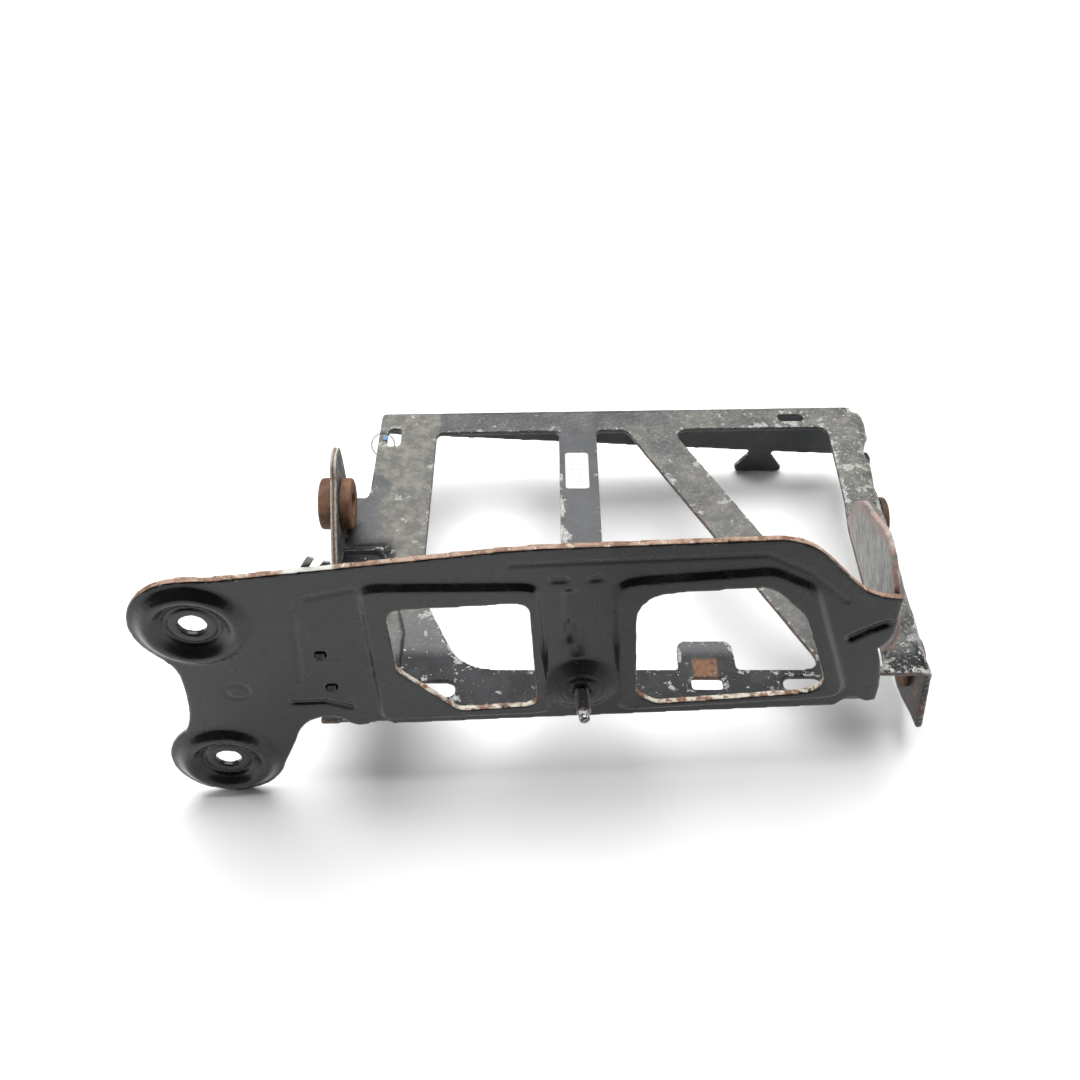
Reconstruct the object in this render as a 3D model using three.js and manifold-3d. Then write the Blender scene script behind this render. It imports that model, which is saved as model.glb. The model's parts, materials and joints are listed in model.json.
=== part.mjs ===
// Pressed-steel spare tire carrier bracket.
//
// A flat tray frame with three openings carries a tall front plate, a side gusset, a bush ear and
// rubber bushes. Millimetres, +Z up. The origin is on the top face of the tray, on the middle of
// its centre strut. +X runs to the gusset side and -Y to the front plate.
import * as THREE from 'three';
import { mergeVertices } from 'three/addons/utils/BufferGeometryUtils.js';
import Module from 'manifold-3d';

const wasm = await Module();
wasm.setup();

// Driving dimensions -------------------------------------------------------------------------
const GAP = 0.3; // clearance between pieces that are welded or seated on each other

// Tray
const TRAY_T = 3.5;
const TRAY_LEFT = -137.4;
const TRAY_RIGHT = 198; // outer face of the right flange
const TRAY_FRONT_LIP = -106; // front edge of the right lug
const BACK_MID = 132.3; // back edge at x = 0
const BACK_SLOPE = 0.0245; // the back edge is slightly skew to x
const WING_LEFT = -149.2; // left extension, on which the ear stands
const WING_BACK = 39;
const FRONT_CORNER_X = 153; // where the tray narrows behind the front plate
const OPEN_LEFT = -97.3;
const OPEN_RIGHT = 170.2; // in front, beside the gusset
const OPEN_RIGHT_BACK = 174.2; // behind the gusset the right rail is narrower
const OPEN_BACK_MID = 108; // back edge of the openings at x = 0, parallel to the tray's
const OPEN_FRONT = -103.3;
const STRUT_HALF = 13;
const STEP_DROP = 2.5; // lowered front-left corner

// Flanges bent down from the tray
const BACK_FLANGE_MID = -29.1; // its lower edge at x = 0
const BACK_FLANGE_SLOPE = -0.079;
const BEND_R = 9; // outer radius of the right bend
const BACK_BEND_R = 5;

// Front plate
const PLATE_T = 4;
const PLATE_Y = -134.3; // front face at x = 0
const PLATE_YAW = Math.atan(0.0515);
const PAD_RISE = 3; // pressed pads round the windows
const SINK = 0.06; // swellings start this far below the plate's face
const BOSS_R = 31.5;
const BOSS_RING_IN = 13.9;
const BOSS_RING_OUT = 29.9;
const BOSS_RING_H = 4.7;
const BOSS_HOLE_R = 7;
const BOSS_UPPER = [-197, 84.5];
const BOSS_LOWER = [-200.5, -28.5];

// Clamp stud, M8
const STUD_AT = [-4.3, 27.3];
const STUD_R = 4;
const STUD_REACH = 25.2; // tip in front of the plate face
const CONE_BASE_R = 21.2;
const CONE_TOP_R = 8.8;
const CONE_H = 6.3;

// Gusset
const GUSSET_T = 3.5;
const GUSSET_LEAN = 0.207; // how far its top leans inwards, per unit of height

// Ear and bushes
const EAR_T = 4;
const EAR_OUTER_X = -153.5;
const BUSH_R = 16.2;
const BUSH_NECK_R = 12;
const BUSH_BORE_R = 6.6;
const BUSH_HOLE_R = BUSH_NECK_R + GAP;
const EAR_BUSH = [12.6, 19.5]; // y, z of its axis
const REAR_BUSH = [39.4, -21.7];
const FRONT_BUSH = [-73, -32];
const LEFT_BUSH_X = [-162.5, -142.6];
const RIGHT_BUSH_X = [191.2, 203];
const RIGHT_BUSH_INNER_R = 14; // small enough to clear the bend
const FLANGE_PIN = [91, -13.6]; // y, z of its axis
const PIN_R = 3;

// Clip behind the front plate and its square rivets
const CLIP_RIVETS = [[-138, 58], [-135.4, 31.5]];
const CLIP_T = 1.5;
const RIVET_SIDE = 4.6;
const RIVET_HEAD = 0.5; // how far a rivet stands out of the plate
const RIVET_TAIL_SIDE = 7.6;
const RIVET_TAIL_T = 1.6;

// Tag loop through the corner hole
const CORNER_HOLE = { x: -126.7, y: 100.6, width: 9, length: 19 };
const LOOP_CENTRE = [-134.1, 94.5, -TRAY_T / 2];
const LOOP_R = 7.9;
const LOOP_WIRE_R = 0.8;
const LOOP_TILT = Math.PI / 4;

// Materials ----------------------------------------------------------------------------------
function finish(color, roughness, metalness) {
  return new THREE.MeshStandardMaterial({ color, roughness, metalness });
}
const TRAY_PAINT = finish(0x6b6a66, 0.6, 0.4);
const PLATE_PAINT = finish(0x2b2c2d, 0.35, 0.3);
const BUSH_RUBBER = finish(0x8f6244, 0.8, 0);
const STEEL = finish(0x54524f, 0.45, 0.9);
const ZINC = finish(0x9b9c98, 0.45, 0.7);
const BLACK_PLASTIC = finish(0x1b1d20, 0.5, 0);
const BLUE_PLASTIC = finish(0x6f9cc8, 0.5, 0);

// Solid helpers ------------------------------------------------------------------------------
function solidOf(geometry) {
  const bare = geometry.index ? geometry.toNonIndexed() : geometry.clone();
  bare.deleteAttribute('normal');
  bare.deleteAttribute('uv');
  const merged = mergeVertices(bare, 1e-4);
  return new wasm.Manifold(new wasm.Mesh({
    numProp: 3,
    vertProperties: new Float32Array(merged.attributes.position.array),
    triVerts: new Uint32Array(merged.index.array),
  }));
}

function geometryOf(solid) {
  const mesh = solid.getMesh();
  const geometry = new THREE.BufferGeometry();
  geometry.setAttribute('position', new THREE.BufferAttribute(mesh.vertProperties, 3));
  geometry.setIndex(new THREE.BufferAttribute(mesh.triVerts, 1));
  geometry.computeVertexNormals();
  return geometry;
}

function pieceOf(name, geometry, material) {
  const mesh = new THREE.Mesh(geometry, material);
  mesh.name = name;
  return mesh;
}

// A closed path through corners [x, y, radius], each corner an arc of that radius.
function traceRounded(path, corners) {
  const count = corners.length;
  for (let i = 0; i < count; i += 1) {
    const [x, y, radius = 0] = corners[i];
    const here = new THREE.Vector2(x, y);
    const before = new THREE.Vector2(...corners[(i + count - 1) % count].slice(0, 2)).sub(here);
    const after = new THREE.Vector2(...corners[(i + 1) % count].slice(0, 2)).sub(here);
    const half = Math.acos(before.clone().normalize().dot(after.clone().normalize())) / 2;
    const reach = Math.min(radius / Math.tan(half), before.length() * 0.49, after.length() * 0.49);
    const into = here.clone().addScaledVector(before.normalize(), reach);
    const out = here.clone().addScaledVector(after.normalize(), reach);
    if (i === 0) path.moveTo(into.x, into.y);
    else path.lineTo(into.x, into.y);
    if (radius > 0) path.quadraticCurveTo(x, y, out.x, out.y);
  }
  path.closePath();
  return path;
}

function roundedShape(corners) {
  return traceRounded(new THREE.Shape(), corners);
}

function prism(shape, depth, curveSegments = 5) {
  return new THREE.ExtrudeGeometry(shape, { depth, bevelEnabled: false, curveSegments });
}

// A pad with sloping sides, smaller by its height at the top: full size just below z = 0.
function slopedPad(shape, height) {
  const foot = 0.4;
  const pad = new THREE.ExtrudeGeometry(shape, {
    depth: foot,
    bevelEnabled: true,
    bevelThickness: height,
    bevelSize: height,
    bevelOffset: -height,
    bevelSegments: 1,
    curveSegments: 4,
  });
  return pad.translate(0, 0, -foot - SINK);
}

function circleCorners(cx, cy, radius, sides) {
  const corners = [];
  for (let i = 0; i < sides; i += 1) {
    const turn = (2 * Math.PI * i) / sides;
    corners.push([cx + radius * Math.cos(turn), cy + radius * Math.sin(turn)]);
  }
  return corners;
}

function slotCorners(cx, cy, width, height) {
  const radius = Math.min(width, height) / 2;
  const [w, h] = [width / 2, height / 2];
  return [[cx - w, cy - h, radius], [cx + w, cy - h, radius],
    [cx + w, cy + h, radius], [cx - w, cy + h, radius]];
}

function squareCorners(x, y, side) {
  const h = side / 2;
  return [[x - h, y - h], [x + h, y - h], [x + h, y + h], [x - h, y + h]];
}

// A turned solid about the local y axis, from a closed profile of [radius, height] points.
function turned(profile, segments) {
  const points = [...profile, profile[0]].map(([r, h]) => new THREE.Vector2(r, h));
  return new THREE.LatheGeometry(points, segments);
}

// Tray ---------------------------------------------------------------------------------------
function backEdge(x) {
  return BACK_MID + BACK_SLOPE * x;
}

function openBack(x) {
  return OPEN_BACK_MID + BACK_SLOPE * x;
}

// Rear face of the front plate, less the clearance.
function plateBack(x) {
  return PLATE_Y + (PLATE_T + GAP) / Math.cos(PLATE_YAW) + Math.tan(PLATE_YAW) * x;
}

function trayOpenings() {
  const left = [
    [OPEN_LEFT, openBack(OPEN_LEFT), 6], [-STRUT_HALF, openBack(-STRUT_HALF), 4],
    [-STRUT_HALF, OPEN_FRONT, 5], [-70.5, OPEN_FRONT, 30], [OPEN_LEFT, -45, 30],
  ];
  const middle = [
    [STRUT_HALF, openBack(STRUT_HALF), 4], [34, openBack(34), 8], [136, OPEN_FRONT, 9],
    [85.5, OPEN_FRONT, 2], [84.5, -82.5, 6], [52.8, -82.5, 6], [52.3, OPEN_FRONT, 2],
    [STRUT_HALF, OPEN_FRONT, 5],
  ];
  const right = [
    [65.3, openBack(65.3), 9], [OPEN_RIGHT_BACK, openBack(OPEN_RIGHT_BACK), 8],
    [OPEN_RIGHT_BACK - 1.4, 37, 30], [OPEN_RIGHT, 10, 30], [OPEN_RIGHT, -112, 5],
  ];
  return [left, middle, right];
}

function traySlots() {
  return [
    slotCorners(-84.5, -117.4, 22, 11),
    [[59, -117.4, 1], [76.5, -117.4, 1], [76.5, -109.2, 1], [59, -109.2, 1]],
    slotCorners(121.5, -113.8, 22, 10.5),
    slotCorners(CORNER_HOLE.x, CORNER_HOLE.y, CORNER_HOLE.width, CORNER_HOLE.length),
    slotCorners(150.3, 122.2, 18, 7.5),
  ];
}

function traySheet() {
  const bendStart = TRAY_RIGHT - BEND_R;
  const outline = roundedShape([
    [WING_LEFT + 3, plateBack(WING_LEFT + 3)], [WING_LEFT, -34], [WING_LEFT, WING_BACK, 2],
    [TRAY_LEFT - 0.6, WING_BACK, 7], [TRAY_LEFT, backEdge(TRAY_LEFT) - BACK_BEND_R, 2],
    [bendStart, backEdge(bendStart) - BACK_BEND_R], [bendStart, TRAY_FRONT_LIP],
    [FRONT_CORNER_X + 2, TRAY_FRONT_LIP, 3], [FRONT_CORNER_X, plateBack(FRONT_CORNER_X)],
  ]);
  let sheet = solidOf(prism(outline, TRAY_T).translate(0, 0, -TRAY_T));
  for (const hole of [...trayOpenings(), ...traySlots()]) {
    sheet = sheet.subtract(solidOf(prism(roundedShape(hole), 20).translate(0, 0, -10)));
  }
  return sheet;
}

// The lowered corner in front of the ear: the sheet steps down by STEP_DROP.
function lowerCorner(sheet) {
  const region = roundedShape([
    [WING_LEFT - 5, -9.5], [-124, -9.5, 10], [-117, -30, 10], [-105.4, -76, 20],
    [-104.4, -145], [WING_LEFT - 5, -145],
  ]);
  const cut = solidOf(prism(region, STEP_DROP + 1).translate(0, 0, -STEP_DROP));
  const below = solidOf(prism(region, TRAY_T).translate(0, 0, -TRAY_T - STEP_DROP));
  const within = roundedShape([
    [WING_LEFT + 3, plateBack(WING_LEFT + 3)], [WING_LEFT, -34], [WING_LEFT, 0],
    [-100, 0], [-100, plateBack(-100)],
  ]);
  const envelope = solidOf(prism(within, 20).translate(0, 0, -15));
  return sheet.subtract(cut).add(below.intersect(envelope));
}

// Cross-section of a sheet that bends down from the tray: [across, z], outer radius first.
function bendSection(radius, reach, overlap) {
  const points = [[-overlap, -TRAY_T], [-overlap, 0]];
  const steps = 6;
  for (let i = 0; i <= steps; i += 1) {
    const turn = (Math.PI / 2) * (1 - i / steps);
    points.push([radius * Math.cos(turn), -radius + radius * Math.sin(turn)]);
  }
  points.push([radius, -reach], [radius - TRAY_T, -reach]);
  const inner = radius - TRAY_T;
  for (let i = 0; i <= steps; i += 1) {
    const turn = (Math.PI / 2) * (i / steps);
    points.push([inner * Math.cos(turn), -radius + inner * Math.sin(turn)]);
  }
  return roundedShape(points);
}

function backFlange() {
  const low = -75;
  const [from, to] = [TRAY_LEFT + 0.5, TRAY_RIGHT - BEND_R];
  const section = prism(bendSection(BACK_BEND_R, -low, 2), to - from);
  // Section x runs to +Y and section y to +Z, and the sweep runs along +X.
  section.applyMatrix4(new THREE.Matrix4().makeBasis(
    new THREE.Vector3(0, 1, 0), new THREE.Vector3(0, 0, 1), new THREE.Vector3(1, 0, 0)));
  section.translate(from, BACK_MID - BACK_BEND_R, 0);
  const lower = (x) => BACK_FLANGE_MID + BACK_FLANGE_SLOPE * x;
  const view = roundedShape([
    [from - 1, 1], [from - 1, lower(from)], [127.5, lower(127.5), 2], [127, -43, 4],
    [118, -54.5, 2], [119.5, -59.2, 2], [152, -60, 2], [153.5, -56.5, 2], [144.4, -43.5, 4],
    [144, lower(144), 2], [to + 1, lower(to)], [to + 1, 1],
  ]);
  const mask = prism(view, 60).applyMatrix4(new THREE.Matrix4().makeBasis(
    new THREE.Vector3(1, 0, 0), new THREE.Vector3(0, 0, 1), new THREE.Vector3(0, -1, 0)));
  mask.translate(0, 160, 0);
  const skew = new THREE.Matrix4().set(
    1, 0, 0, 0, BACK_SLOPE, 1, 0, 0, 0, 0, 1, 0, 0, 0, 0, 1);
  return solidOf(section.applyMatrix4(skew)).intersect(solidOf(mask));
}

// A prism of a side view in y and z, from x0 to x1.
function sidePrism(corners, x0, x1, curveSegments = 5) {
  const solid = prism(roundedShape(corners), x1 - x0, curveSegments);
  solid.applyMatrix4(new THREE.Matrix4().makeBasis(
    new THREE.Vector3(0, 1, 0), new THREE.Vector3(0, 0, 1), new THREE.Vector3(1, 0, 0)));
  return solid.translate(x0, 0, 0);
}

function rightFlange() {
  const back = backEdge(TRAY_RIGHT) - 8;
  const length = back - TRAY_FRONT_LIP + 10;
  const section = prism(bendSection(BEND_R, 70, 2), length);
  // Section x runs to +X and section y to +Z, and the sweep runs along -Y.
  section.applyMatrix4(new THREE.Matrix4().makeBasis(
    new THREE.Vector3(1, 0, 0), new THREE.Vector3(0, 0, 1), new THREE.Vector3(0, -1, 0)));
  section.translate(TRAY_RIGHT - BEND_R, back, 0);
  const [ry, rz] = REAR_BUSH;
  const [fy, fz] = FRONT_BUSH;
  const view = [
    [back, 1], [back, -38, 5], [ry + 40, -36, 12], [ry + 25, rz - 24, 20], [ry - 25, rz - 24, 20],
    [ry - 36, -26, 10], [fy + 42, -26, 12], [fy + 24, fz - 22, 20], [fy - 8, fz - 22, 10],
    [fy - 26, -47, 4], [-113.5, -43.5, 2], [TRAY_FRONT_LIP + 3, -9, 6],
    [TRAY_FRONT_LIP, -2], [TRAY_FRONT_LIP, 1],
  ];
  const flange = solidOf(section).intersect(solidOf(sidePrism(view, 150, 210)));
  const holes = [REAR_BUSH, FRONT_BUSH].map(([y, z]) => solidOf(
    sidePrism(circleCorners(y, z, BUSH_HOLE_R, 28), 185, 205)));
  const pin = solidOf(sidePrism(circleCorners(...FLANGE_PIN, PIN_R + GAP, 14), 185, 205));
  return holes.reduce((whole, hole) => whole.subtract(hole), flange).subtract(pin);
}

function baseFrame() {
  const solid = lowerCorner(traySheet()).add(backFlange()).add(rightFlange());
  return pieceOf('base_frame', geometryOf(solid), TRAY_PAINT);
}

// Front plate: x along the plate, y up, and z out of its front face --------------------------
function plateOutline() {
  const [ux, uz] = BOSS_UPPER;
  const [lx, lz] = BOSS_LOWER;
  const shape = new THREE.Shape();
  shape.moveTo(137.8, -2.5);
  shape.quadraticCurveTo(142, 4.5, 147.5, 4);
  shape.quadraticCurveTo(152, 1, 155.6, -0.4);
  shape.lineTo(159.6, 1);
  shape.quadraticCurveTo(159.8, 26, 151.5, 45.5);
  shape.quadraticCurveTo(158.4, 50, 158.4, 60);
  shape.lineTo(157, 84.3);
  shape.quadraticCurveTo(141, 85.5, 131, 96.5);
  shape.lineTo(113.5, 116.5);
  shape.quadraticCurveTo(101.5, 129.8, 85, 129.8);
  shape.lineTo(-20, 129.4);
  shape.quadraticCurveTo(-32, 129.4, -45, 128.5);
  shape.lineTo(ux + 14, uz + BOSS_R - 0.3);
  shape.quadraticCurveTo(ux + 8, uz + BOSS_R, ux, uz + BOSS_R);
  shape.absarc(ux, uz, BOSS_R, Math.PI / 2, Math.PI * 1.235, false);
  shape.quadraticCurveTo(-211.6, 54, -211.6, 42);
  shape.quadraticCurveTo(-211.6, 8, -219.5, -3.5);
  shape.absarc(lx, lz, BOSS_R, Math.PI * 0.72, Math.PI * 1.93, false);
  shape.lineTo(-161, -15);
  shape.quadraticCurveTo(-154.5, 6, -141.5, 6);
  shape.quadraticCurveTo(-134, 6, -130, 0.5);
  shape.quadraticCurveTo(-126.5, -3.2, -119.5, -2.6);
  shape.quadraticCurveTo(-117, 1.4, -112.5, 1.2);
  shape.quadraticCurveTo(-108.5, 1.2, -106, -2.5);
  shape.closePath();
  return shape;
}

const WINDOW_LEFT = [
  [-102, 93.2, 9], [-31.7, 94.4, 8], [-27.6, 12.4, 7], [-69.5, 10.8, 8], [-100.2, 46.5, 4],
];
const WINDOW_RIGHT = [
  [21, 97.2, 20], [88, 99.8, 20], [108.5, 76, 30], [129.7, 14.2, 12], [36.5, 9.8, 8], [25.5, 19, 8],
];
const PAD_LEFT = [[-115, 110.5, 10], [-26, 106.5, 10], [-19, 3, 8], [-112.5, 2.5, 8]];
const PAD_RIGHT = [
  [8, 107.5, 14], [88, 111.5, 18], [112.5, 96.5, 16], [143.5, 6.5, 12], [16, 2.5, 10],
];

// A ring-shaped swelling, its section half a cosine wave, traced from its inner foot outwards.
function ringProfile(base) {
  const steps = 8;
  const profile = [[BOSS_RING_IN, base - 3], [BOSS_RING_OUT, base - 3]];
  for (let i = steps; i >= 0; i -= 1) {
    const along = i / steps;
    const r = BOSS_RING_IN + (BOSS_RING_OUT - BOSS_RING_IN) * along;
    profile.push([r, base - SINK + BOSS_RING_H * 0.5 * (1 - Math.cos(2 * Math.PI * along))]);
  }
  return profile;
}

function coneProfile(base) {
  return [[0, base - 3], [CONE_BASE_R, base - 3], [CONE_BASE_R, base - SINK],
    [(CONE_BASE_R + CONE_TOP_R) / 2 + 1, base + CONE_H * 0.42],
    [CONE_TOP_R, base + CONE_H], [0, base + CONE_H]];
}

function standing(profile, [x, y], segments) {
  // The profile closes on itself when it never reaches the axis.
  const onAxis = profile[0][0] === 0;
  const geometry = onAxis
    ? new THREE.LatheGeometry(profile.map(([r, h]) => new THREE.Vector2(r, h)), segments)
    : turned(profile, segments);
  return solidOf(geometry.rotateX(Math.PI / 2).translate(x, y, 0));
}

function frontPlate() {
  let solid = solidOf(prism(plateOutline(), PLATE_T, 10).translate(0, 0, -PLATE_T));
  const swellings = [];
  for (const pad of [PAD_LEFT, PAD_RIGHT]) {
    const shape = roundedShape(pad);
    swellings.push((lift) => solidOf(slopedPad(shape, PAD_RISE).translate(0, 0, lift)));
  }
  for (const centre of [BOSS_UPPER, BOSS_LOWER]) {
    swellings.push((lift) => standing(ringProfile(lift), centre, 36));
  }
  swellings.push((lift) => standing(coneProfile(lift), STUD_AT, 36));
  const hollows = swellings.map((make) => make(-PLATE_T));
  for (const make of swellings) {
    solid = solid.add(make(0));
  }
  for (const hollow of hollows) {
    solid = solid.subtract(hollow);
  }
  const cuts = [
    roundedShape(WINDOW_LEFT), roundedShape(WINDOW_RIGHT),
    roundedShape(circleCorners(...STUD_AT, STUD_R + GAP, 24)),
    roundedShape(circleCorners(...BOSS_UPPER, BOSS_HOLE_R, 28)),
    roundedShape(circleCorners(...BOSS_LOWER, BOSS_HOLE_R, 28)),
    ...CLIP_RIVETS.map(([x, y]) => roundedShape(squareCorners(x, y, RIVET_SIDE + 2 * GAP))),
  ];
  for (const shape of cuts) {
    solid = solid.subtract(solidOf(prism(shape, 60).translate(0, 0, -30)));
  }
  return pieceOf('front_plate', geometryOf(solid), PLATE_PAINT);
}

// Press-in stud: a serrated head behind the plate, an M8 shank and a dog point.
function clampStud() {
  const headBack = CONE_H - PLATE_T - GAP;
  const profile = [
    [0, headBack - 2.6], [6.2, headBack - 2.6], [6.2, headBack], [STUD_R, headBack],
    [STUD_R, STUD_REACH - 7], [STUD_R - 1.2, STUD_REACH - 5.6], [STUD_R - 1.2, STUD_REACH - 1.4],
    [STUD_R - 2.2, STUD_REACH], [0, STUD_REACH],
  ];
  const geometry = new THREE.LatheGeometry(profile.map(([r, h]) => new THREE.Vector2(r, h)), 24);
  geometry.rotateX(Math.PI / 2).translate(STUD_AT[0], STUD_AT[1], 0);
  return pieceOf('clamp_stud', geometryOf(solidOf(geometry)), STEEL);
}

// Flat clip riveted behind the plate, with two slanting fingers above its top edge.
function rearClip() {
  const outline = roundedShape([
    [-144, 22, 3], [-127, 22, 3], [-127, 110], [-125, 118], [-125.4, 121.3], [-128.1, 122.2],
    [-130.9, 118.6], [-134, 112, 1], [-135.9, 117.8], [-132.3, 124.1], [-135.6, 125.6],
    [-139.9, 118.4], [-144, 110],
  ]);
  const strip = solidOf(prism(outline, CLIP_T).translate(0, 0, -PLATE_T - GAP - CLIP_T));
  const holes = CLIP_RIVETS.map(([x, y]) => solidOf(prism(
    roundedShape(squareCorners(x, y, RIVET_SIDE + 2 * GAP)), 20).translate(0, 0, -15)));
  const solid = holes.reduce((whole, hole) => whole.subtract(hole), strip);
  return pieceOf('rear_clip', geometryOf(solid), ZINC);
}

// Square rivet: its shank passes the plate and the clip, and its tail spreads behind them.
function clipRivet(name, [x, y]) {
  const back = -PLATE_T - GAP - CLIP_T - GAP;
  const bite = 0.5; // the shank runs this far into the tail
  const shank = solidOf(prism(roundedShape(squareCorners(x, y, RIVET_SIDE)), RIVET_HEAD - back + bite)
    .translate(0, 0, back - bite));
  const tail = solidOf(prism(roundedShape(squareCorners(x, y, RIVET_TAIL_SIDE)), RIVET_TAIL_T)
    .translate(0, 0, back - RIVET_TAIL_T));
  return pieceOf(name, geometryOf(shank.add(tail)), STEEL);
}

// Gusset between the front plate's end and the right rail.
function rightGusset() {
  const back = plateBack(156) + 0.1;
  const view = [
    [18, GAP, 4], [-15, 47.8, 30], [-37.5, 69, 20], [-70, 87.5, 20], [-98, 105, 16],
    [-112, 102, 10], [back, 89, 3], [back, 46, 2], [-92, GAP, 4],
  ];
  const solid = sidePrism(view, OPEN_RIGHT, OPEN_RIGHT + GUSSET_T);
  solid.applyMatrix4(new THREE.Matrix4().set(
    1, 0, -GUSSET_LEAN, 0, 0, 1, 0, 0, 0, 0, 1, 0, 0, 0, 0, 1));
  return pieceOf('right_gusset', geometryOf(solidOf(solid)), TRAY_PAINT);
}

function bushEar() {
  const view = [
    [-31, -6], [-31, 0, 6], [-17, 19, 20], [-3.5, 35, 20], [6, 44.5, 10], [11, 54.5, 16],
    [30, 55, 18], [34, 36, 20], [36.5, 4, 10], [37.5, -6],
  ];
  const hole = solidOf(sidePrism(circleCorners(...EAR_BUSH, BUSH_HOLE_R, 28), -170, -130));
  const plate = solidOf(sidePrism(view, EAR_OUTER_X, EAR_OUTER_X + EAR_T));
  return pieceOf('bush_ear', geometryOf(plate.subtract(hole)), TRAY_PAINT);
}

// A grommet bush with its axis along x, held by a groove over a sheet from sheetX to +sheetT.
function bush(name, [x0, x1], [y, z], sheetX, sheetT, nearR = BUSH_R) {
  const edge = 1;
  const profile = [
    [BUSH_BORE_R, x0], [nearR - edge, x0], [nearR, x0 + edge], [nearR, sheetX - GAP],
    [BUSH_NECK_R, sheetX - GAP], [BUSH_NECK_R, sheetX + sheetT + GAP],
    [BUSH_R, sheetX + sheetT + GAP], [BUSH_R, x1 - edge], [BUSH_R - edge, x1], [BUSH_BORE_R, x1],
  ];
  const geometry = turned(profile, 36).rotateZ(-Math.PI / 2).translate(0, y, z);
  return pieceOf(name, geometryOf(solidOf(geometry)), BUSH_RUBBER);
}

// Round-headed pin through the right flange, behind the rear bush.
function flangePin() {
  const inner = TRAY_RIGHT - TRAY_T;
  const profile = [
    [0, inner - 2.5], [5.5, inner - 2.5], [5.5, inner - GAP], [PIN_R, inner - GAP],
    [PIN_R, TRAY_RIGHT + GAP], [6.3, TRAY_RIGHT + GAP], [6, TRAY_RIGHT + 2.2],
    [4, TRAY_RIGHT + 3.8], [0, TRAY_RIGHT + 4.2],
  ];
  const geometry = new THREE.LatheGeometry(profile.map(([r, h]) => new THREE.Vector2(r, h)), 20);
  geometry.rotateZ(-Math.PI / 2).translate(0, ...FLANGE_PIN);
  return pieceOf('flange_pin', geometryOf(solidOf(geometry)), STEEL);
}

// Thin loop through the corner hole and round the tray's left edge, with its small flag.
function tagLoop() {
  const group = new THREE.Group();
  group.position.set(...LOOP_CENTRE);
  group.rotation.x = LOOP_TILT;
  const ring = new THREE.TorusGeometry(LOOP_R, LOOP_WIRE_R, 8, 40);
  group.add(pieceOf('tag_loop', ring, BLACK_PLASTIC));
  const flag = prism(roundedShape([[0.2, 3.3, 0.5], [3.4, 3.3, 0.5], [3.4, 6], [0.2, 6.6]]), 0.8);
  group.add(pieceOf('tag_flag', flag.translate(0, 0, -0.4), BLUE_PLASTIC));
  return group;
}

// Assembly -----------------------------------------------------------------------------------
const carrier = new THREE.Group();
carrier.add(baseFrame());

const plateGroup = new THREE.Group();
plateGroup.add(frontPlate());
plateGroup.add(clampStud());
plateGroup.add(rearClip());
plateGroup.add(clipRivet('clip_rivet_upper', CLIP_RIVETS[0]));
plateGroup.add(clipRivet('clip_rivet_lower', CLIP_RIVETS[1]));
plateGroup.position.set(0, PLATE_Y, 0);
// Local y turns up and local z turns to the front, then the plate takes its yaw.
plateGroup.rotation.set(Math.PI / 2, 0, PLATE_YAW, 'ZXY');
carrier.add(plateGroup);

carrier.add(rightGusset());
carrier.add(bushEar());
carrier.add(bush('ear_bush', LEFT_BUSH_X, EAR_BUSH, EAR_OUTER_X, EAR_T));
const rightSheet = [TRAY_RIGHT - TRAY_T, TRAY_T, RIGHT_BUSH_INNER_R];
carrier.add(bush('flange_bush_rear', RIGHT_BUSH_X, REAR_BUSH, ...rightSheet));
carrier.add(bush('flange_bush_front', RIGHT_BUSH_X, FRONT_BUSH, ...rightSheet));
carrier.add(flangePin());
carrier.add(tagLoop());

export default carrier;
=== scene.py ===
"""Looks of the pressed-steel spare tire carrier bracket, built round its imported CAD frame."""
import json
import math
import random

import bmesh
import bpy
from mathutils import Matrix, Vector, kdtree, noise


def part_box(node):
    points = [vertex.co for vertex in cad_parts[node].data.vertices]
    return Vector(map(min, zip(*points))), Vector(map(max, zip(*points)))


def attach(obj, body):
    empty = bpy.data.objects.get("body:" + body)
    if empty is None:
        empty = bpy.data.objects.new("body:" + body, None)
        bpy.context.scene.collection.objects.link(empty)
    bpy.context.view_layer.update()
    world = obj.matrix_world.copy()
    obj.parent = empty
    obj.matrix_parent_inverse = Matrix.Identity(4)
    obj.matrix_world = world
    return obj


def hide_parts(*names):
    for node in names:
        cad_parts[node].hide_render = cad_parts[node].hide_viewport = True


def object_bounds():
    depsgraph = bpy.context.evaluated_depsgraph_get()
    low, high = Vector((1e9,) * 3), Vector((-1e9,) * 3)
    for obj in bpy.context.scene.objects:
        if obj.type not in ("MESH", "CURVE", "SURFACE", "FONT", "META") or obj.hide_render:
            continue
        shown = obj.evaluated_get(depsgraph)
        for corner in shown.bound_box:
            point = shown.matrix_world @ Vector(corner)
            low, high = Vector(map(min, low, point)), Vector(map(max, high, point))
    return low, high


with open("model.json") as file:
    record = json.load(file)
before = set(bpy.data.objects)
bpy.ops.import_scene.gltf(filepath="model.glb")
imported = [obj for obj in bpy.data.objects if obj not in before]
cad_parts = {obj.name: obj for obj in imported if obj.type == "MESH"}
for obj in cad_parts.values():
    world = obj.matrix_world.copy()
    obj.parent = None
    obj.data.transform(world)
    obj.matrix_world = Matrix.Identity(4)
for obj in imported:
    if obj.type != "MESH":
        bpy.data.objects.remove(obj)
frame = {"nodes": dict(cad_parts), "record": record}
CAD_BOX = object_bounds()
MM = 0.001
BODY = "carrier"
TAG = "tag"

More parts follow.
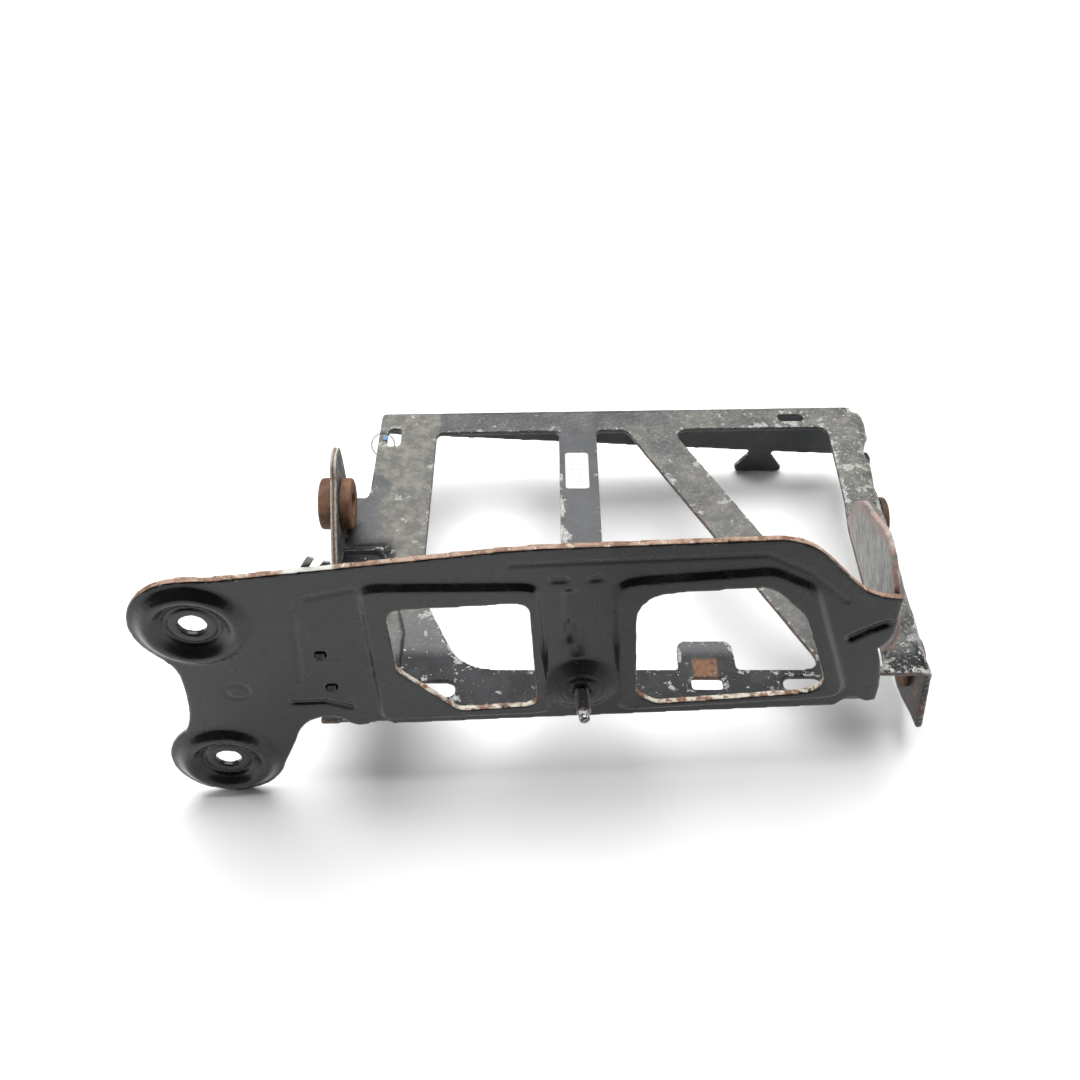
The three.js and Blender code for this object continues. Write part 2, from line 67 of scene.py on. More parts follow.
# The front plate's own frame: along it, up, and out of its front face.
MOUNTS = {mount["name"]: mount for mount in frame["record"]["mounts"]}
PAD_FACE = Vector(MOUNTS["clamp_pad"]["pos_m"])
OUT = Vector(MOUNTS["clamp_pad"]["axis"]).normalized()
UP = Vector((0, 0, 1))
ALONG = UP.cross(OUT).normalized()
CONE_HEIGHT = 6.3 * MM  # from the plate's face to the clamp pad, which is the cone's top
PLATE_FACE = (PAD_FACE - OUT * CONE_HEIGHT).dot(OUT)
PLATE_START = PLATE_FACE / OUT.y * ALONG.y  # how far along lies the plate's own zero, at x = 0

# Places on the plate, along it and up, in millimetres.
BOSSES = [(-197, 84.5), (-200.5, -28.5)]
CONE = (-4.3, 27.3)
STUD_REACH = 25.2  # how far the stud's tip stands in front of the plate
LEFT_WINDOW, LEFT_WINDOW_HEIGHT = (-107, -24), (4, 62)  # the stretch with a worn lip
RIGHT_WINDOW, RIGHT_WINDOW_HEIGHT = (18, 134), (4, 66)
TOP_LEFT, TOP_RIGHT = (-214, -208), (104, 110)  # past these the top edge turns down
TOP_MIDDLE, TOP_ENDS = (111, 114), (70, 82)  # the top edge is above these heights
BARE_TOP = (-148, -124)  # here the top edge is bare metal

# Places on the tray, in millimetres.
BACK_FADE = (96, 112)  # the walls' rust ends here, going back
FRONT_FADE = (-98, -84)  # the clean paint ends here, going back
CORNER_X, CORNER_Y = (-122, -112), (-12, 10)  # where the clean lowered corner ends
TAB_X, TAB_Y = (60.5, 74.5), (-109.5, -96.2)  # the rusted patch

# Hardware
TRAY_THICKNESS = 3.5 * MM
SEAT_GAP = 0.3 * MM
BUSH_BORE, BUSH_NECK, SMALL_BUSH = 6.6 * MM, 12 * MM, 14 * MM  # radii
BUSH_RIM, BUSH_STEP = 2.2 * MM, 0.5 * MM  # roundings of its rim and beside its groove


# ---------------------------------------------------------------- camera, light and floor
VIEWER_SIDE = (0, -0.75, 0.66)
FLOOR_HALF = 6  # metres
FLOOR_GAP = 0.5 * MM
RANGE_SOCKETS = ("From Min", "From Max", "To Min", "To Max")


def add_camera():
    camera = bpy.data.cameras.new("camera")
    camera.lens = 38.67
    camera.sensor_width = 36
    camera.clip_start = 0.01
    holder = bpy.data.objects.new("camera", camera)
    holder.location = (-0.02608, -0.5167, 0.5167)
    holder.rotation_euler = (math.radians(45), 0, 0)
    bpy.context.collection.objects.link(holder)
    bpy.context.scene.camera = holder


def add_light(name, location, target, size, power):
    light = bpy.data.lights.new(name, "AREA")
    light.shape = "SQUARE"
    light.size = size
    light.energy = power
    holder = bpy.data.objects.new(name, light)
    holder.location = location
    holder.rotation_euler = (Vector(target) - Vector(location)).to_track_quat("-Z", "Y").to_euler()
    bpy.context.collection.objects.link(holder)


def add_studio():
    """A large soft top light, with little light from where the viewer stands."""
    bpy.context.scene.view_settings.view_transform = "Standard"
    add_light("top", (0, 0.55, 1.5), (0, 0, 0), 2.0, 66)
    add_light("left", (-1.6, -0.2, 0.7), (0, 0, 0), 0.9, 11)
    add_light("right", (1.6, 0.1, 0.8), (0, 0, 0), 0.9, 8)
    world = bpy.data.worlds.new("studio")
    world.use_nodes = True
    nodes, links = world.node_tree.nodes, world.node_tree.links
    sky = nodes.new("ShaderNodeTexCoord")
    toward = nodes.new("ShaderNodeVectorMath")
    toward.operation = "DOT_PRODUCT"
    toward.inputs[1].default_value = VIEWER_SIDE
    links.new(sky.outputs["Generated"], toward.inputs[0])
    dim = nodes.new("ShaderNodeMapRange")
    dim.interpolation_type = "SMOOTHSTEP"
    for socket, number in zip(RANGE_SOCKETS, (0.25, 0.85, 0.62, 0.02)):
        dim.inputs[socket].default_value = number
    links.new(toward.outputs["Value"], dim.inputs["Value"])
    links.new(dim.outputs["Result"], nodes["Background"].inputs["Strength"])
    bpy.context.scene.world = world


def add_floor():
    half = FLOOR_HALF
    low = CAD_BOX[0][2] - FLOOR_GAP
    mesh = bpy.data.meshes.new("floor")
    corners = [(-half, -half, low), (half, -half, low), (half, half, low), (-half, half, low)]
    mesh.from_pydata(corners, [], [(0, 1, 2, 3)])
    floor = bpy.data.objects.new("floor", mesh)
    bpy.context.collection.objects.link(floor)
    paint = bpy.data.materials.new("floor")
    paint.use_nodes = True
    shader = paint.node_tree.nodes["Principled BSDF"]
    shader.inputs["Base Color"].default_value = (0.93, 0.93, 0.93, 1)
    shader.inputs["Roughness"].default_value = 0.9
    mesh.materials.append(paint)


# ---------------------------------------------------------------- node helpers
class Look:
    """A material and short calls for the nodes that colour it. Positions are in millimetres."""

    def __init__(self, name, roughness=0.5, metallic=0.0, specular=0.5):
        self.material = bpy.data.materials.new(name)
        self.material.use_nodes = True
        self.tree = self.material.node_tree
        self.shader = self.tree.nodes["Principled BSDF"]
        self.shader.inputs["Roughness"].default_value = roughness
        self.shader.inputs["Metallic"].default_value = metallic
        self.shader.inputs["Specular IOR Level"].default_value = specular
        geometry = self.node("ShaderNodeNewGeometry")
        coordinates = self.node("ShaderNodeTexCoord")
        scale = self.node("ShaderNodeVectorMath", operation="SCALE")
        self.tree.links.new(coordinates.outputs["Object"], scale.inputs[0])
        scale.inputs["Scale"].default_value = 1000
        self.position = scale.outputs["Vector"]
        self.normal = coordinates.outputs["Normal"]
        self.pointiness = geometry.outputs["Pointiness"]

    def node(self, kind, **settings):
        node = self.tree.nodes.new(kind)
        for key, value in settings.items():
            setattr(node, key, value)
        return node

    def put(self, socket, value):
        if isinstance(value, bpy.types.NodeSocket):
            self.tree.links.new(value, socket)
        elif hasattr(socket.default_value, "__len__") and len(socket.default_value) == 4:
            socket.default_value = (*value, 1)
        else:
            socket.default_value = value

    def math(self, operation, a, b=0.0):
        node = self.node("ShaderNodeMath", operation=operation)
        self.put(node.inputs[0], a)
        self.put(node.inputs[1], b)
        return node.outputs[0]

    def plus(self, a, b):
        return self.math("ADD", a, b)

    def minus(self, a, b):
        return self.math("SUBTRACT", a, b)

    def times(self, a, b):
        return self.math("MULTIPLY", a, b)

    def most(self, a, b):
        return self.math("MAXIMUM", a, b)

    def raised(self, value, *extras):
        """The value plus each (mask, weight)."""
        for mask, weight in extras:
            value = self.plus(value, self.times(mask, weight))
        return value

    def distance(self, a, b, centre):
        """How far the point (a, b) is from the centre."""
        from_a, from_b = self.minus(a, centre[0]), self.minus(b, centre[1])
        return self.math("SQRT", self.plus(self.times(from_a, from_a), self.times(from_b, from_b)))

    def split(self, vector):
        node = self.node("ShaderNodeSeparateXYZ")
        self.put(node.inputs[0], vector)
        return node.outputs

    def stretch(self, vector, factors):
        node = self.node("ShaderNodeVectorMath", operation="MULTIPLY")
        self.put(node.inputs[0], vector)
        node.inputs[1].default_value = factors
        return node.outputs[0]

    def dot(self, vector, direction):
        node = self.node("ShaderNodeVectorMath", operation="DOT_PRODUCT")
        self.put(node.inputs[0], vector)
        node.inputs[1].default_value = direction
        return node.outputs["Value"]

    def noise(self, size, detail=4.0, rough=0.6, vector=None, warp=0.0):
        """Cloudy noise whose blotches are about size millimetres across."""
        node = self.node("ShaderNodeTexNoise")
        self.put(node.inputs["Vector"], vector or self.position)
        node.inputs["Scale"].default_value = 1 / size
        node.inputs["Detail"].default_value = detail
        node.inputs["Roughness"].default_value = rough
        node.inputs["Distortion"].default_value = warp
        return node.outputs["Fac"]

    def ease(self, value, low, high, to_low=0.0, to_high=1.0):
        node = self.node("ShaderNodeMapRange", interpolation_type="SMOOTHSTEP")
        self.put(node.inputs["Value"], value)
        for socket, number in zip(RANGE_SOCKETS, (low, high, to_low, to_high)):
            node.inputs[socket].default_value = number
        return node.outputs["Result"]

    def fall(self, value, low, high):
        return self.ease(value, low, high, 1.0, 0.0)

    def band(self, value, low, high, soft):
        """1 between low and high, and 0 outside them, over a soft edge."""
        rise = self.ease(value, low - soft, low + soft)
        return self.times(rise, self.fall(value, high - soft, high + soft))

    def both(self, *masks):
        whole = masks[0]
        for mask in masks[1:]:
            whole = self.times(whole, mask)
        return whole

    def mix(self, mask, a, b):
        node = self.node("ShaderNodeMix", data_type="RGBA")
        self.put(node.inputs["Factor"], mask)
        self.put(node.inputs[6], a)
        self.put(node.inputs[7], b)
        return node.outputs[2]

    def mark(self, name):
        """A number kept on the mesh's vertices."""
        return self.node("ShaderNodeAttribute", attribute_name=name).outputs["Fac"]

    def colour(self, value):
        self.put(self.shader.inputs["Base Color"], value)

    def rough(self, value):
        self.put(self.shader.inputs["Roughness"], value)

    def gloss(self, value):
        self.put(self.shader.inputs["Specular IOR Level"], value)

    def bump(self, height, distance):
        """Relief of the given height field, distance millimetres high."""
        node = self.node("ShaderNodeBump")
        node.inputs["Strength"].default_value = 1
        node.inputs["Distance"].default_value = distance * MM
        self.put(node.inputs["Height"], height)
        self.put(self.shader.inputs["Normal"], node.outputs["Normal"])


RUST = (0.20, 0.075, 0.035)
RUST_DARK = (0.07, 0.030, 0.018)


def edge_wear(look, sharp, spread, size):
    """Where a convex edge has lost its paint, broken up by noise."""
    edge = look.ease(look.pointiness, sharp - spread, sharp + spread)
    return look.both(edge, look.ease(look.noise(size, 5, 0.7), 0.42, 0.60))


# ---------------------------------------------------------------- materials
def tray_paint():
    """Dark paint under grey-brown dust, chipped to bright metal along its edges."""
    look = Look("tray_paint")
    x, y, _ = look.split(look.position)
    normal_z = look.split(look.normal)[2]
    up = look.ease(normal_z, 0.45, 0.85)
    rim, dust, chips = look.mark("rim"), look.mark("dust"), look.mark("chips")
    cloud = look.noise(26, 6, 0.66, warp=0.5)
    fine = look.noise(2.4, 7, 0.75)
    paint = look.mix(look.ease(cloud, 0.36, 0.66), (0.028, 0.030, 0.033), (0.050, 0.052, 0.055))
    tone_mask = look.ease(look.noise(8, 6, 0.7), 0.38, 0.64)
    dirt = look.mix(tone_mask, (0.084, 0.084, 0.078), (0.170, 0.163, 0.141))
    cover = look.raised(dust, (look.minus(cloud, 0.5), 1.2), (look.minus(fine, 0.5), 2.4))
    base = look.mix(look.both(up, look.ease(cover, 0.12, 0.85)), paint, dirt)
    brown = look.both(up, dust, look.ease(look.noise(13, 6, 0.7, warp=1.0), 0.52, 0.68))
    base = look.mix(look.times(brown, 0.38), base, (0.185, 0.140, 0.098))
    # Bent and sheared walls are rusty, but for those at the back.
    side = look.fall(look.math("ABSOLUTE", normal_z), 0.25, 0.6)
    rusty = look.both(side, look.fall(y, *BACK_FADE), look.ease(look.noise(9, 5, 0.7), 0.46, 0.60))
    base = look.mix(look.times(rusty, 0.7), base, RUST)
    # In front and on the lowered corner the paint is clean and dark.
    corner = look.both(look.fall(x, *CORNER_X), look.fall(y, *CORNER_Y))
    front = look.both(up, look.most(look.fall(y, *FRONT_FADE), corner))
    clean = look.mix(look.ease(cloud, 0.4, 0.6), (0.013, 0.014, 0.015), (0.030, 0.031, 0.033))
    base = look.mix(front, base, clean)
    # A rusted patch behind the middle slot, on the square tab.
    tab = look.both(look.band(x, *TAB_X, 0.6), look.band(y, *TAB_Y, 1.6))
    tab = look.both(tab, look.ease(look.noise(3.5, 6, 0.75), 0.36, 0.50))
    base = look.mix(look.times(tab, 0.85), base, (0.19, 0.088, 0.04))
    # Pale blooms of corrosion, and flakes and specks of bare metal.
    bloom = look.raised(look.noise(11, 8, 0.66, warp=0.1), (chips, 0.085), (rim, 0.085))
    bloom = look.both(look.ease(bloom, 0.665, 0.695, 0.0, 0.75), up)
    flake = look.raised(look.noise(4.2, 7, 0.72), (chips, 0.10), (rim, 0.095))
    flake = look.both(look.ease(flake, 0.685, 0.715), look.ease(normal_z, 0.2, 0.6))
    speck = look.raised(look.noise(1.3, 4, 0.7), (chips, 0.10))
    speck = look.both(look.ease(speck, 0.715, 0.74), up)
    shown = look.most(look.most(flake, speck), bloom)
    bright = look.mix(look.ease(look.noise(1.5, 5), 0.4, 0.6), (0.24, 0.24, 0.225), (0.52, 0.52, 0.49))
    base = look.mix(look.times(shown, 0.85), base, bright)
    base = look.mix(edge_wear(look, 0.55, 0.02, 3.2), base, (0.33, 0.29, 0.25))
    look.colour(base)
    look.rough(look.plus(look.ease(cover, 0.1, 0.8, 0.34, 0.58), look.times(shown, 0.08)))
    look.gloss(look.ease(look.both(front, look.minus(1.0, shown)), 0.0, 1.0, 0.40, 0.10))
    look.bump(look.minus(look.times(fine, 0.6), shown), 0.14)
    return look.material


def gusset_paint():
    """Grey, with light upright streaks along its slope that are partly scuffed paint and partly a painted
    reflection of glossy paint, and a rusty sheared top edge.
    """
    look = Look("gusset_paint", specular=0.4)
    streak = look.noise(4.5, 8, 0.74, look.stretch(look.position, (1.0, 0.9, 0.22)), warp=0.3)
    cloud = look.noise(16, 5, 0.65)
    # The light streaks are partly scuffs and partly a painted reflection, the streaky sheen of glossy paint
    # on this upright face.
    base = look.mix(look.ease(streak, 0.40, 0.60), (0.085, 0.085, 0.082), (0.37, 0.37, 0.35))
    base = look.mix(look.ease(cloud, 0.50, 0.66, 0.0, 0.6), base, (0.075, 0.072, 0.068))
    rim = look.mark("rim")
    pink = look.both(look.ease(rim, 0.05, 0.5), look.ease(look.noise(6, 6, 0.7), 0.38, 0.55))
    base = look.mix(look.times(pink, 0.8), base, (0.30, 0.165, 0.13))
    chip = look.ease(look.raised(look.noise(2.6, 6, 0.7), (rim, 0.05)), 0.66, 0.69)
    base = look.mix(look.times(chip, 0.8), base, (0.56, 0.55, 0.52))
    look.colour(base)
    look.rough(look.ease(streak, 0.3, 0.7, 0.42, 0.60))
    look.bump(streak, 0.12)
    return look.material


def ear_paint():
    """A pale scraped rim round a brown sheared edge, and dark faces."""
    look = Look("ear_paint", specular=0.4)
    x, _, _ = look.split(look.position)
    wall = look.fall(look.math("ABSOLUTE", look.split(look.normal)[0]), 0.55, 0.85)
    low, high = (corner[0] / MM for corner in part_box("bush_ear"))
    face = look.mix(look.ease(look.noise(8, 5), 0.40, 0.64), (0.048, 0.048, 0.05), (0.13, 0.125, 0.115))
    core = look.band(look.raised(x, (look.noise(3), 1.2)), low + 2.0, high - 0.7, 0.35)
    edge = look.mix(look.ease(look.noise(3, 6, 0.7), 0.40, 0.62), (0.25, 0.235, 0.20), (0.46, 0.435, 0.38))
    edge = look.mix(look.times(core, 0.85), edge, (0.125, 0.055, 0.03))
    base = look.mix(wall, face, edge)
    base = look.mix(edge_wear(look, 0.53, 0.02, 2.4), base, (0.50, 0.48, 0.44))
    look.colour(base)
    look.rough(look.ease(look.noise(5), 0.3, 0.7, 0.44, 0.62))
    look.bump(look.noise(1.6, 5), 0.12)
    return look.material


def plate_paint():
    """Gloss black paint with a fine dirt film, worn to metal and rust at its sheared edges."""
    look = Look("plate_paint")
    along = look.minus(look.dot(look.position, ALONG), PLATE_START / MM)
    z = look.split(look.position)[2]
    cloud = look.noise(48, 5, 0.6)
    base = look.mix(look.ease(cloud, 0.35, 0.68), (0.0065, 0.0068, 0.0075), (0.0145, 0.0147, 0.0152))
    film = look.ease(look.noise(15, 8, 0.68, warp=0.8), 0.50, 0.78, 0.0, 0.24)
    base = look.mix(film, base, (0.085, 0.082, 0.074))
    wall = look.fall(look.math("ABSOLUTE", look.dot(look.normal, OUT)), 0.45, 0.75)
    # The sheared top edge is rusty, with pale, dark and bare stretches.
    ends = look.most(look.ease(along, *TOP_RIGHT), look.fall(along, *TOP_LEFT))
    outer = look.both(look.most(ends, look.ease(z, *TOP_MIDDLE)), look.ease(z, *TOP_ENDS))
    top = look.both(wall, look.ease(look.split(look.normal)[2], 0.35, 0.7), outer)
    rust = look.ease(look.noise(7, 6, 0.7), 0.42, 0.60)
    rust = look.mix(rust, (0.15, 0.072, 0.040), (0.33, 0.215, 0.155))
    rust = look.mix(look.ease(look.noise(5.5, 5, 0.7), 0.56, 0.66), rust, (0.47, 0.41, 0.35))
    rust = look.mix(look.ease(look.noise(2.8, 4), 0.62, 0.68), rust, (0.03, 0.028, 0.028))
    rust = look.mix(look.band(along, *BARE_TOP, 1.5), rust, (0.48, 0.47, 0.44))
    base = look.mix(top, base, rust)
    # The windows' lips are worn to metal and rust.
    left = look.both(look.band(along, *LEFT_WINDOW, 1), look.band(z, *LEFT_WINDOW_HEIGHT, 2))
    right = look.both(look.band(along, *RIGHT_WINDOW, 1), look.band(z, *RIGHT_WINDOW_HEIGHT, 2))
    lip = look.both(wall, look.most(left, right))
    lip_tone = look.ease(look.noise(5, 6, 0.7), 0.44, 0.56)
    lip_tone = look.mix(lip_tone, (0.17, 0.078, 0.04), (0.52, 0.49, 0.42))
    base = look.mix(look.both(lip, look.ease(look.noise(11, 5, 0.7), 0.36, 0.44)), base, lip_tone)
    chip = look.ease(look.raised(look.noise(2.4, 5, 0.7), (look.mark("rim"), 0.10)), 0.72, 0.74)
    base = look.mix(look.times(chip, 0.7), base, (0.34, 0.30, 0.25))
    look.colour(base)
    rough = look.raised(look.ease(cloud, 0.3, 0.7, 0.20, 0.30), (film, 0.6), (look.most(top, lip), 0.35))
    look.rough(rough)
    # Towards the right, and round the clamp stud, the paint is less shiny.
    dull = look.most(look.ease(along, -60, 30, 0.0, 0.6), look.fall(look.distance(along, z, CONE), 15, 24))
    look.gloss(look.ease(dull, 0.0, 1.0, 0.46, 0.20))
    look.bump(look.noise(5, 3), 0.05)
    return look.material


def bush_rubber(name, dark, light):
    look = Look(name, specular=0.3)
    cloud = look.noise(9, 5, 0.6)
    base = look.mix(look.ease(cloud, 0.35, 0.66), dark, light)
    # Painted shade: concave creases of the bush, found by pointiness, are darkened towards near black.
    tone_mask = look.fall(look.pointiness, 0.40, 0.49)
    base = look.mix(look.times(tone_mask, 0.8), base, (0.045, 0.028, 0.02))
    base = look.mix(look.ease(look.noise(1.2, 5, 0.7), 0.58, 0.72, 0.0, 0.35), base, (0.27, 0.17, 0.11))
    look.colour(base)
    look.rough(look.ease(cloud, 0.3, 0.7, 0.58, 0.78))
    look.bump(look.noise(1.4, 5), 0.10)
    return look.material


def stud_steel():
    """Dark steel with a painted highlight on the thread's crests, and bright on the smooth point."""
    look = Look("stud_steel", metallic=0.75)
    cloud = look.noise(4, 5, 0.65)
    reach = look.minus(look.dot(look.position, OUT), PLATE_FACE / MM)
    point = look.ease(reach, STUD_REACH - 6.6, STUD_REACH - 5.0)
    base = look.mix(look.ease(cloud, 0.38, 0.62), (0.010, 0.009, 0.009), (0.035, 0.033, 0.032))
    base = look.mix(look.ease(look.noise(2, 5), 0.62, 0.72, 0.0, 0.4), base, RUST_DARK)
    # Painted highlight: the thread's crests are lightened.
    base = look.mix(look.times(look.mark("crest"), 0.35), base, (0.26, 0.25, 0.24))
    worn = look.mix(look.ease(look.noise(1.6, 5), 0.40, 0.62), (0.07, 0.068, 0.065), (0.46, 0.45, 0.44))
    base = look.mix(point, base, worn)
    look.colour(base)
    look.rough(look.ease(cloud, 0.3, 0.7, 0.22, 0.42))
    look.bump(look.noise(0.8, 4), 0.04)
    return look.material


def clip_steel():
    look = Look("clip_steel", metallic=0.6)
    streak = look.noise(1.6, 5, 0.65, look.stretch(look.position, (1.0, 1.0, 0.15)))
    base = look.mix(look.ease(streak, 0.35, 0.65), (0.24, 0.24, 0.235), (0.40, 0.40, 0.39))
    base = look.mix(look.ease(look.noise(5, 5), 0.58, 0.70, 0.0, 0.6), base, (0.17, 0.13, 0.10))
    look.colour(base)
    look.rough(look.ease(streak, 0.3, 0.7, 0.42, 0.62))
    look.bump(streak, 0.03)
    return look.material


def label_paper(low, high):
    look = Look("label_paper", roughness=0.7, specular=0.3)
    x, y, _ = look.split(look.position)
    base = look.mix(look.ease(look.noise(7, 5), 0.40, 0.70), (0.60, 0.60, 0.59), (0.52, 0.52, 0.50))
    rules = look.ease(look.math("SINE", look.times(y, 2.2)), 0.35, 0.75)
    inside = look.band(y, low[1] + 6, high[1] - 7, 0.6)
    inside = look.both(inside, look.band(x, low[0] + 3, high[0] - 4, 0.5))
    broken = look.ease(look.noise(2.5, 3), 0.42, 0.52)
    base = look.mix(look.times(look.both(rules, inside, broken), 0.55), base, (0.25, 0.25, 0.27))
    look.colour(base)
    look.bump(look.noise(4, 4), 0.12)
    return look.material


def plain_plastic(name, dark, light, roughness):
    look = Look(name, specular=0.4)
    cloud = look.noise(1.5, 5, 0.6)
    look.colour(look.mix(look.ease(cloud, 0.35, 0.65), dark, light))
    look.rough(look.ease(cloud, 0.3, 0.7, roughness - 0.08, roughness + 0.08))
    look.bump(look.noise(0.6, 3), 0.03)
    return look.material


# ---------------------------------------------------------------- mesh helpers
def add_piece(name, mesh, material, nodes, body=BODY):
    piece = bpy.data.objects.new(name, mesh)
    bpy.context.collection.objects.link(piece)
    mesh.materials.clear()
    mesh.materials.append(material)
    for polygon in mesh.polygons:
        polygon.use_smooth = True
        polygon.material_index = 0
    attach(piece, body)
    if nodes:
        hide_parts(*nodes)
    return piece


def applied(mesh, modifiers):
    """The mesh after a list of (kind, settings) modifiers."""
    holder = bpy.data.objects.new("holder", mesh)
    bpy.context.collection.objects.link(holder)
    for kind, settings in modifiers:
        modifier = holder.modifiers.new(kind, kind)
        for key, value in settings.items():
            setattr(modifier, key, value)
    result = bpy.data.meshes.new_from_object(holder.evaluated_get(bpy.context.evaluated_depsgraph_get()))
    bpy.data.objects.remove(holder)
    return result


def pressed(node, voxel, rounds):
    """The node's solid with its pressed and sheared edges rounded off, in an even fine mesh."""
    return applied(frame["nodes"][node].data.copy(), [
        ("REMESH", {"mode": "VOXEL", "voxel_size": voxel * MM}),
        ("SMOOTH", {"factor": 0.5, "iterations": rounds}),
    ])


def welded(name, points, faces):
    """A mesh with coinciding points joined and its faces turned outwards."""
    mesh = bpy.data.meshes.new(name)
    mesh.from_pydata(points, [], faces)
    work = bmesh.new()
    work.from_mesh(mesh)
    bmesh.ops.remove_doubles(work, verts=work.verts, dist=0.001 * MM)
    bmesh.ops.recalc_face_normals(work, faces=work.faces)
    work.to_mesh(mesh)
    work.free()
    return mesh


def turned(name, profile, centre, axis):
    """A turned mesh from a closed profile of (radius, distance along the axis), in metres."""
    sides = 96
    side = axis.orthogonal().normalized()
    other = axis.cross(side)
    points = []
    for i in range(sides):
        turn = 2 * math.pi * i / sides
        ray = side * math.cos(turn) + other * math.sin(turn)
        points += [centre + axis * s + ray * r for r, s in profile]
    count = len(profile)
    faces = []
    for i in range(sides):
        for j in range(count):
            a, b = i * count + j, i * count + (j + 1) % count
            c, d = (i + 1) % sides * count + (j + 1) % count, (i + 1) % sides * count + j
            faces.append((a, b, c, d))
    return welded(name, points, faces)


def rounded_profile(corners):
    """Corners (radius, distance, rounding) joined by lines, each rounded by a curve."""
    steps = 5
    result = []
    count = len(corners)
    for i, (r, s, rounding) in enumerate(corners):
        here = Vector((r, s))
        before = Vector(corners[i - 1][:2]) - here
        after = Vector(corners[(i + 1) % count][:2]) - here
        if rounding == 0:
            result.append((r, s))
            continue
        start = here + before.normalized() * min(rounding, before.length * 0.48)
        end = here + after.normalized() * min(rounding, after.length * 0.48)
        for k in range(steps + 1):
            t = k / steps
            point = start * (1 - t) ** 2 + here * 2 * t * (1 - t) + end * t ** 2
            result.append(tuple(point))
    return result


def mark(mesh, name, values):
    attribute = mesh.attributes.new(name, "FLOAT", "POINT")
    attribute.data.foreach_set("value", values)


def mark_rims(mesh, facing, reach):
    """Each vertex gets 1 at the edge of the flat faces that look along facing, falling to 0 at reach."""
    steepest = 0.4
    walls = [v.co for v in mesh.vertices if abs(v.normal.dot(facing)) < steepest]
    tree = kdtree.KDTree(len(walls))
    for index, place in enumerate(walls):
        tree.insert(place, index)
    tree.balance()
    mark(mesh, "rim", [max(0.0, 1 - tree.find(v.co)[2] / reach) for v in mesh.vertices])


def smooth_step(value, low, high):
    t = min(1.0, max(0.0, (value - low) / (high - low)))
    return t * t * (3 - 2 * t)


# Stretches of the tray in millimetres: x from and to, y from and to, dust, chips. Later ones win.
TRAY_STRETCHES = [
    (-160, 210, 104, 145, 0.30, 0.40),
    (60, 210, 104, 145, 0.50, 0.80),
    (-145, -96, -60, 145, 0.88, 0.60),
    (-160, -128, -120, 60, 0.20, 0.16),
    (28, 150, -92, 110, 0.55, 0.45),
    (-15, 15, -104, 107, 0.00, 0.10),
    (-16, -8.5, -40, 64, 0.20, 1.7),
    (-104, -60, -104, -40, 0.18, 0.82),
    (-160, 160, -140, -96, 0.03, 0.62),
    (50, 88, -104, -80, 0.06, 0.62),
    (166, 215, -60, 124, 0.62, 1.05),
    (150, 215, -140, -58, 0.22, 1.2),
]


def mark_wear(mesh):
    """How dusty and how chipped each vertex of the tray is."""
    dust, chips = [], []
    soft = 4
    ripple, sway = 16, 7  # the stretches' edges wander by up to sway, in waves of ripple
    for vertex in mesh.vertices:
        place = vertex.co / MM
        shift = noise.noise_vector(place / ripple) * sway
        x, y = place.x + shift.x, place.y + shift.y
        level = [0.3, 0.3]
        for x0, x1, y0, y1, dusty, chipped in TRAY_STRETCHES:
            inside = smooth_step(x, x0 - soft, x0 + soft) * (1 - smooth_step(x, x1 - soft, x1 + soft))
            inside *= smooth_step(y, y0 - soft, y0 + soft) * (1 - smooth_step(y, y1 - soft, y1 + soft))
            level = [level[0] + (dusty - level[0]) * inside, level[1] + (chipped - level[1]) * inside]
        dust.append(level[0])
        chips.append(level[1])
    mark(mesh, "dust", dust)
    mark(mesh, "chips", chips)


def distance_to(line, x, y):
    """Distance from (x, y) to a chain of points."""
    best = 1e9
    for (ax, ay), (bx, by) in zip(line, line[1:]):
        dx, dy = bx - ax, by - ay
        t = min(1.0, max(0.0, ((x - ax) * dx + (y - ay) * dy) / (dx * dx + dy * dy)))
        best = min(best, math.hypot(x - ax - t * dx, y - ay - t * dy))
    return best


def press(mesh, across, upwards, facing, strokes, start=0.0):
    """Presses grooves into a sheet: strokes of (chain of points, half width, depth), in millimetres."""
    # Moving a vertex makes Blender work out every normal again, so they are all read first.
    least = 0.35
    flat = [abs(vertex.normal.dot(facing)) > least for vertex in mesh.vertices]
    for vertex in mesh.vertices:
        if not flat[vertex.index]:
            continue
        x, y = (vertex.co.dot(across) - start) / MM, vertex.co.dot(upwards) / MM
        sink = 0.0
        for line, width, depth in strokes:
            gap = distance_to(line, x, y)
            if gap < width:
                sink += depth * (0.5 + 0.5 * math.cos(math.pi * gap / width))
        vertex.co -= facing * sink * MM


def bow_right_edge(mesh):
    """The tray's right edge stands out at its back corner and is dented along its length."""
    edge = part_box("base_frame")[1][0]
    pin = (Vector(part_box("flange_pin")[0]) + Vector(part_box("flange_pin")[1])) / 2
    bulge, dent = 5.5 * MM, 1.1 * MM
    for vertex in mesh.vertices:
        x, y, z = vertex.co
        if x < edge - 24 * MM:
            continue
        near = smooth_step(x, edge - 22 * MM, edge - 6 * MM)
        free = smooth_step(math.hypot(y - pin.y, z - pin.z), 8 * MM, 18 * MM)
        out = bulge * smooth_step(y, 58 * MM, 122 * MM) * free
        wave = noise.noise(Vector((0, y, z)) / (13 * MM)) * smooth_step(z, -12 * MM, -3 * MM)
        vertex.co.x = x + (out + dent * wave) * near


# ---------------------------------------------------------------- pieces
def circle(x, y, radius, sides=40):
    """A closed chain of points round (x, y)."""
    turns = [2 * math.pi * i / sides for i in range(sides + 1)]
    return [(x + radius * math.cos(turn), y + radius * math.sin(turn)) for turn in turns]


